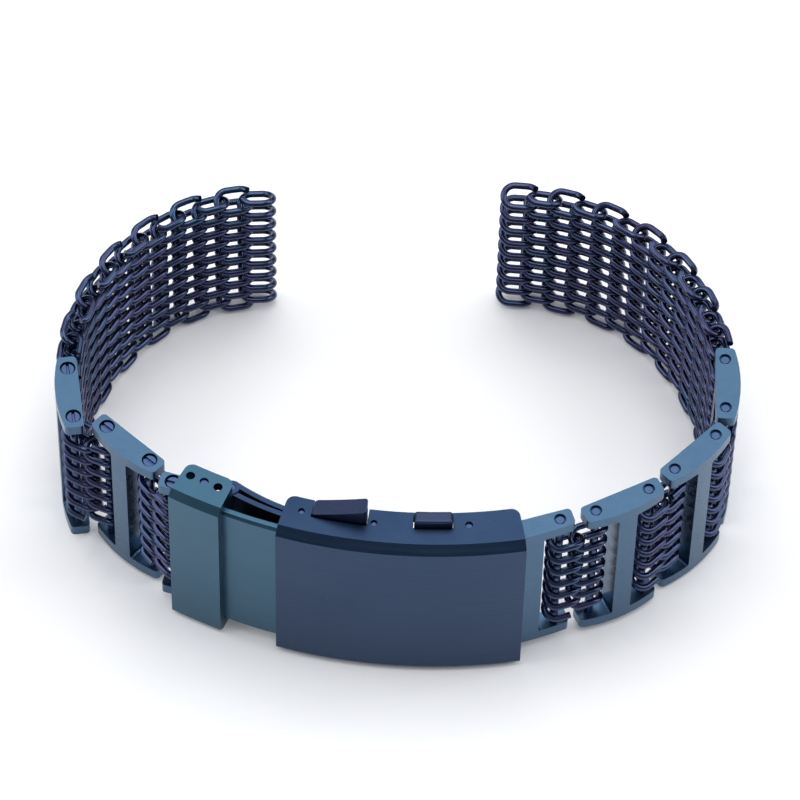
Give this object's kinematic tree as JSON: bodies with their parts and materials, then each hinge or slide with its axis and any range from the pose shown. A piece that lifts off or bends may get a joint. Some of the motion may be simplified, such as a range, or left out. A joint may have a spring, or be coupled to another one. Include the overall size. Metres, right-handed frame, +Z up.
{
  "type": "shark mesh bracelet",
  "caption": "Blue coated shark mesh watch bracelet with H-links, sliding extension and a folding push-button clasp.",
  "frame": {"origin": "middle of the clasp cover's lower face, halfway through its depth", "axes": "+Z up, parallel to all hinge pins and across the bracelet's width; +X to the viewer's right along the clasp, towards the right links; +Y from the clasp towards the bracelet's open middle"},
  "size_m": [0.0786, 0.0549, 0.0274],
  "materials": {
    "cover_blue": "dark blue coated steel, brushed",
    "sleeve_blue": "teal-blue coated steel, brushed",
    "link_blue": "mid-blue coated steel, polished",
    "mesh_blue": "blue coated wire, polished",
    "button_navy": "dark navy coated steel, brushed",
    "pin_blue": "periwinkle-blue coated pin ends",
    "steel": "plain steel, hidden inside the clasp"
  },
  "bodies": {
    "cover": {"clasp_cover": "cover_blue", "cover_hinge_pin": "pin_blue", "release_guide_pins": "pin_blue", "release_springs": "steel", "extension_button_spring": "steel"},
    "extension": {"extension_plate": "sleeve_blue", "adjust_sleeve": "sleeve_blue", "sleeve_spring_bar": "pin_blue"},
    "middle_blade": {"middle_blade": "cover_blue", "blade_hinge_pin": "pin_blue"},
    "base_blade": {"base_blade": "cover_blue", "catch_post": "steel", "base_blade_pin": "pin_blue"},
    "release_button": {"release_button": "button_navy"},
    "extension_button": {"extension_button": "button_navy"},
    "right_link_1": {"right_link_1": "link_blue", "right_link_1_pin": "pin_blue"},
    "right_connector_1_coil_1": {"right_connector_1_coil_1": "mesh_blue"},
    "right_connector_1_coil_2": {"right_connector_1_coil_2": "mesh_blue"},
    "right_link_2": {"right_link_2": "link_blue", "right_link_2_pins": "pin_blue"},
    "right_connector_2_coil_1": {"right_connector_2_coil_1": "mesh_blue"},
    "right_connector_2_coil_2": {"right_connector_2_coil_2": "mesh_blue"},
    "right_link_3": {"right_link_3": "link_blue", "right_link_3_pins": "pin_blue"},
    "right_connector_3_coil_1": {"right_connector_3_coil_1": "mesh_blue"},
    "right_connector_3_coil_2": {"right_connector_3_coil_2": "mesh_blue"},
    "right_link_4": {"right_link_4": "link_blue", "right_link_4_pins": "pin_blue"},
    "right_band_coils_01_02": {"right_band_coils_01_02": "mesh_blue"},
    "right_band_coils_03_04": {"right_band_coils_03_04": "mesh_blue"},
    "right_band_coils_05_06": {"right_band_coils_05_06": "mesh_blue"},
    "right_band_coils_07_08": {"right_band_coils_07_08": "mesh_blue"},
    "right_band_coils_09_10": {"right_band_coils_09_10": "mesh_blue"},
    "right_band_coils_11_12": {"right_band_coils_11_12": "mesh_blue"},
    "right_band_coils_13_14": {"right_band_coils_13_14": "mesh_blue"},
    "left_link_1": {"left_link_1": "link_blue", "left_link_1_screw": "pin_blue"},
    "left_connector_1_coil_1": {"left_connector_1_coil_1": "mesh_blue"},
    "left_connector_1_coil_2": {"left_connector_1_coil_2": "mesh_blue"},
    "left_link_2": {"left_link_2": "link_blue", "left_link_2_screws": "pin_blue"},
    "left_connector_2_coil_1": {"left_connector_2_coil_1": "mesh_blue"},
    "left_connector_2_coil_2": {"left_connector_2_coil_2": "mesh_blue"},
    "left_link_3": {"left_link_3": "link_blue", "left_link_3_screws": "pin_blue"},
    "left_band_coils_01_02": {"left_band_coils_01_02": "mesh_blue"},
    "left_band_coils_03_04": {"left_band_coils_03_04": "mesh_blue"},
    "left_band_coils_05_06": {"left_band_coils_05_06": "mesh_blue"},
    "left_band_coils_07_08": {"left_band_coils_07_08": "mesh_blue"},
    "left_band_coils_09_10": {"left_band_coils_09_10": "mesh_blue"},
    "left_band_coils_11_12": {"left_band_coils_11_12": "mesh_blue"},
    "left_band_coils_13_14": {"left_band_coils_13_14": "mesh_blue"}
  },
  "joints": [
    {"name": "extension_slide", "type": "hinge", "parent": "cover", "child": "extension", "pos_m": [0, 0.0594, 0.0125], "axis": [0, 0, 1], "range_deg": [0, 6.2]},
    {"name": "cover_opening", "type": "hinge", "parent": "cover", "child": "middle_blade", "pos_m": [0.00746, 0.00143, 0.0125], "axis": [0, 0, -1], "range_deg": [0, 160]},
    {"name": "blade_opening", "type": "hinge", "parent": "middle_blade", "child": "base_blade", "pos_m": [-0.01952, 0.00691, 0.0125], "axis": [0, 0, -1], "range_deg": [-160, 0]},
    {"name": "release_press", "type": "slide", "parent": "cover", "child": "release_button", "axis": [0, 0, -1], "range_m": [0, 0.0012], "stiffness_N_per_m": 1500, "springref_m": -0.0006, "deforming": ["release_springs"]},
    {"name": "extension_press", "type": "slide", "parent": "cover", "child": "extension_button", "axis": [0, 0, -1], "range_m": [0, 0.0013], "stiffness_N_per_m": 1500, "springref_m": -0.0006, "deforming": ["extension_button_spring"]},
    {"name": "right_link_1_hinge", "type": "hinge", "parent": "base_blade", "child": "right_link_1", "pos_m": [0.01131, 0.00149, 0.0125], "axis": [0, 0, -1], "range_deg": [-25, 1]},
    {"name": "right_connector_1_coil_1_hinge", "type": "hinge", "parent": "right_link_1", "child": "right_connector_1_coil_1", "pos_m": [0.01757, 0.0039, 0.0125], "axis": [0, 0, -1], "range_deg": [-30, 30]},
    {"name": "right_connector_1_coil_2_hinge", "type": "hinge", "parent": "right_connector_1_coil_1", "child": "right_connector_1_coil_2", "pos_m": [0.01957, 0.00475, 0.0125], "axis": [0, 0, 1], "range_deg": [-7, 7]},
    {"name": "right_link_2_hinge", "type": "hinge", "parent": "right_connector_1_coil_2", "child": "right_link_2", "pos_m": [0.02154, 0.00566, 0.0125], "axis": [0, 0, -1], "range_deg": [-30, 30]},
    {"name": "right_connector_2_coil_1_hinge", "type": "hinge", "parent": "right_link_2", "child": "right_connector_2_coil_1", "pos_m": [0.02734, 0.00901, 0.0125], "axis": [0, 0, 1], "range_deg": [-30, 30]},
    {"name": "right_connector_2_coil_2_hinge", "type": "hinge", "parent": "right_connector_2_coil_1", "child": "right_connector_2_coil_2", "pos_m": [0.0288, 0.01063, 0.0125], "axis": [0, 0, -1], "range_deg": [-7, 7]},
    {"name": "right_link_3_hinge", "type": "hinge", "parent": "right_connector_2_coil_2", "child": "right_link_3", "pos_m": [0.03019, 0.0123, 0.0125], "axis": [0, 0, 1], "range_deg": [-30, 30]},
    {"name": "right_connector_3_coil_1_hinge", "type": "hinge", "parent": "right_link_3", "child": "right_connector_3_coil_1", "pos_m": [0.03468, 0.01728, 0.0125], "axis": [0, 0, -1], "range_deg": [-30, 30]},
    {"name": "right_connector_3_coil_2_hinge", "type": "hinge", "parent": "right_connector_3_coil_1", "child": "right_connector_3_coil_2", "pos_m": [0.03535, 0.01934, 0.0125], "axis": [0, 0, 1], "range_deg": [-7, 7]},
    {"name": "right_link_4_hinge", "type": "hinge", "parent": "right_connector_3_coil_2", "child": "right_link_4", "pos_m": [0.03573, 0.02149, 0.0125], "axis": [0, 0, -1], "range_deg": [-30, 30]},
    {"name": "right_band_coils_01_02_hinge", "type": "hinge", "parent": "right_link_4", "child": "right_band_coils_01_02", "pos_m": [0.03549, 0.02818, 0.0125], "axis": [0, 0, 1], "range_deg": [-30, 30]},
    {"name": "right_band_coils_03_04_hinge", "type": "hinge", "parent": "right_band_coils_01_02", "child": "right_band_coils_03_04", "pos_m": [0.0343, 0.03301, 0.0125], "axis": [0, 0, -1], "range_deg": [-7, 7]},
    {"name": "right_band_coils_05_06_hinge", "type": "hinge", "parent": "right_band_coils_03_04", "child": "right_band_coils_05_06", "pos_m": [0.03224, 0.0381, 0.0125], "axis": [0, 0, 1], "range_deg": [-7, 7]},
    {"name": "right_band_coils_07_08_hinge", "type": "hinge", "parent": "right_band_coils_05_06", "child": "right_band_coils_07_08", "pos_m": [0.02919, 0.04267, 0.0125], "axis": [0, 0, -1], "range_deg": [-7, 7]},
    {"name": "right_band_coils_09_10_hinge", "type": "hinge", "parent": "right_band_coils_07_08", "child": "right_band_coils_09_10", "pos_m": [0.02514, 0.04638, 0.0125], "axis": [0, 0, 1], "range_deg": [-7, 7]},
    {"name": "right_band_coils_11_12_hinge", "type": "hinge", "parent": "right_band_coils_09_10", "child": "right_band_coils_11_12", "pos_m": [0.02031, 0.049, 0.0125], "axis": [0, 0, -1], "range_deg": [-7, 7]},
    {"name": "right_band_coils_13_14_hinge", "type": "hinge", "parent": "right_band_coils_11_12", "child": "right_band_coils_13_14", "pos_m": [0.01502, 0.05044, 0.0125], "axis": [0, 0, 1], "range_deg": [-7, 7]},
    {"name": "left_link_1_hinge", "type": "hinge", "parent": "extension", "child": "left_link_1", "pos_m": [-0.02245, 0.00511, 0.0125], "axis": [0, 0, 1], "range_deg": [-25, 1]},
    {"name": "left_connector_1_coil_1_hinge", "type": "hinge", "parent": "left_link_1", "child": "left_connector_1_coil_1", "pos_m": [-0.02607, 0.00588, 0.0125], "axis": [0, 0, -1], "range_deg": [-30, 30]},
    {"name": "left_connector_1_coil_2_hinge", "type": "hinge", "parent": "left_connector_1_coil_1", "child": "left_connector_1_coil_2", "pos_m": [-0.02755, 0.00747, 0.0125], "axis": [0, 0, 1], "range_deg": [-7, 7]},
    {"name": "left_link_2_hinge", "type": "hinge", "parent": "left_connector_1_coil_2", "child": "left_link_2", "pos_m": [-0.02898, 0.00911, 0.0125], "axis": [0, 0, -1], "range_deg": [-30, 30]},
    {"name": "left_connector_2_coil_1_hinge", "type": "hinge", "parent": "left_link_2", "child": "left_connector_2_coil_1", "pos_m": [-0.03419, 0.01333, 0.0125], "axis": [0, 0, 1], "range_deg": [-30, 30]},
    {"name": "left_connector_2_coil_2_hinge", "type": "hinge", "parent": "left_connector_2_coil_1", "child": "left_connector_2_coil_2", "pos_m": [-0.03623, 0.01407, 0.0125], "axis": [0, 0, -1], "range_deg": [-7, 7]},
    {"name": "left_link_3_hinge", "type": "hinge", "parent": "left_connector_2_coil_2", "child": "left_link_3", "pos_m": [-0.0382, 0.01499, 0.0125], "axis": [0, 0, 1], "range_deg": [-30, 30]},
    {"name": "left_band_coils_01_02_hinge", "type": "hinge", "parent": "left_link_3", "child": "left_band_coils_01_02", "pos_m": [-0.03948, 0.02157, 0.0125], "axis": [0, 0, -1], "range_deg": [-30, 30]},
    {"name": "left_band_coils_03_04_hinge", "type": "hinge", "parent": "left_band_coils_01_02", "child": "left_band_coils_03_04", "pos_m": [-0.03952, 0.02653, 0.0125], "axis": [0, 0, 1], "range_deg": [-7, 7]},
    {"name": "left_band_coils_05_06_hinge", "type": "hinge", "parent": "left_band_coils_03_04", "child": "left_band_coils_05_06", "pos_m": [-0.03842, 0.03192, 0.0125], "axis": [0, 0, -1], "range_deg": [-7, 7]},
    {"name": "left_band_coils_07_08_hinge", "type": "hinge", "parent": "left_band_coils_05_06", "child": "left_band_coils_07_08", "pos_m": [-0.03623, 0.03695, 0.0125], "axis": [0, 0, 1], "range_deg": [-7, 7]},
    {"name": "left_band_coils_09_10_hinge", "type": "hinge", "parent": "left_band_coils_07_08", "child": "left_band_coils_09_10", "pos_m": [-0.03302, 0.04141, 0.0125], "axis": [0, 0, -1], "range_deg": [-7, 7]},
    {"name": "left_band_coils_11_12_hinge", "type": "hinge", "parent": "left_band_coils_09_10", "child": "left_band_coils_11_12", "pos_m": [-0.02888, 0.04501, 0.0125], "axis": [0, 0, 1], "range_deg": [-7, 7]},
    {"name": "left_band_coils_13_14_hinge", "type": "hinge", "parent": "left_band_coils_11_12", "child": "left_band_coils_13_14", "pos_m": [-0.02395, 0.04742, 0.0125], "axis": [0, 0, -1], "range_deg": [-7, 7]}
  ],
  "couplings": [
    {"joint": "blade_opening", "follows": "cover_opening", "ratio": -1}
  ]
}
